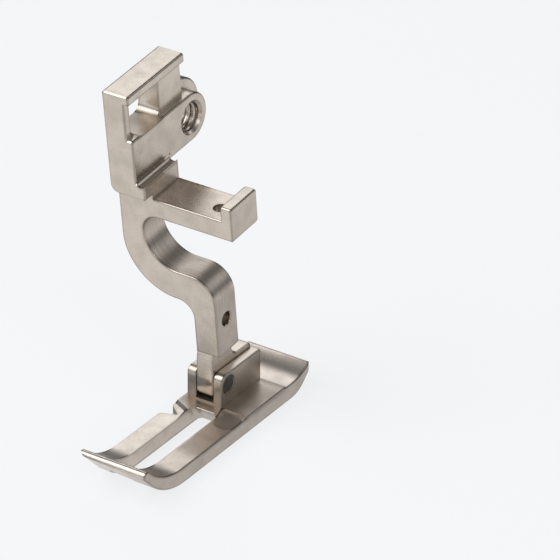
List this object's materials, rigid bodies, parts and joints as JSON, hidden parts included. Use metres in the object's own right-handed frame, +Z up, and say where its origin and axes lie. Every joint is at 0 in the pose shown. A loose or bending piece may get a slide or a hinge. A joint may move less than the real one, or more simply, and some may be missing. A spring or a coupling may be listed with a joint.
{
  "type": "sewing machine presser foot",
  "caption": "Hinged presser foot with a slotted sole upturned at toe and heel, an S-shaped shank with a side arm, and a clamping head with a threaded screw hole",
  "frame": {"origin": "the sole plate's sliding face, midway across its width, straight below the hinge pin's axis", "axes": "+X across the foot towards the side of the arm and hook, +Y from the toe to the heel, +Z up out of the sliding face; the shank leans forward at rest as in the picture"},
  "size_m": [0.0196, 0.041, 0.0515],
  "materials": {
    "nickel_body": "satin nickel plate over a polished casting, faintly pitted and brushed along its curves",
    "nickel_sole": "satin nickel plate, polished brighter on the sliding face, the toe and the heel",
    "dark_pin": "ground steel pin end, darkened, with a fine bright ring where it meets the ear"
  },
  "bodies": {
    "foot": {"foot_body": "nickel_body"},
    "sole": {"sole_plate": "nickel_sole", "hinge_pin": "dark_pin"}
  },
  "joints": [
    {"name": "sole_hinge", "type": "hinge", "parent": "foot", "child": "sole", "pos_m": [-0.00168, 0, 0.00566], "axis": [1, 0, 0], "range_deg": [-15, 2.5]}
  ]
}
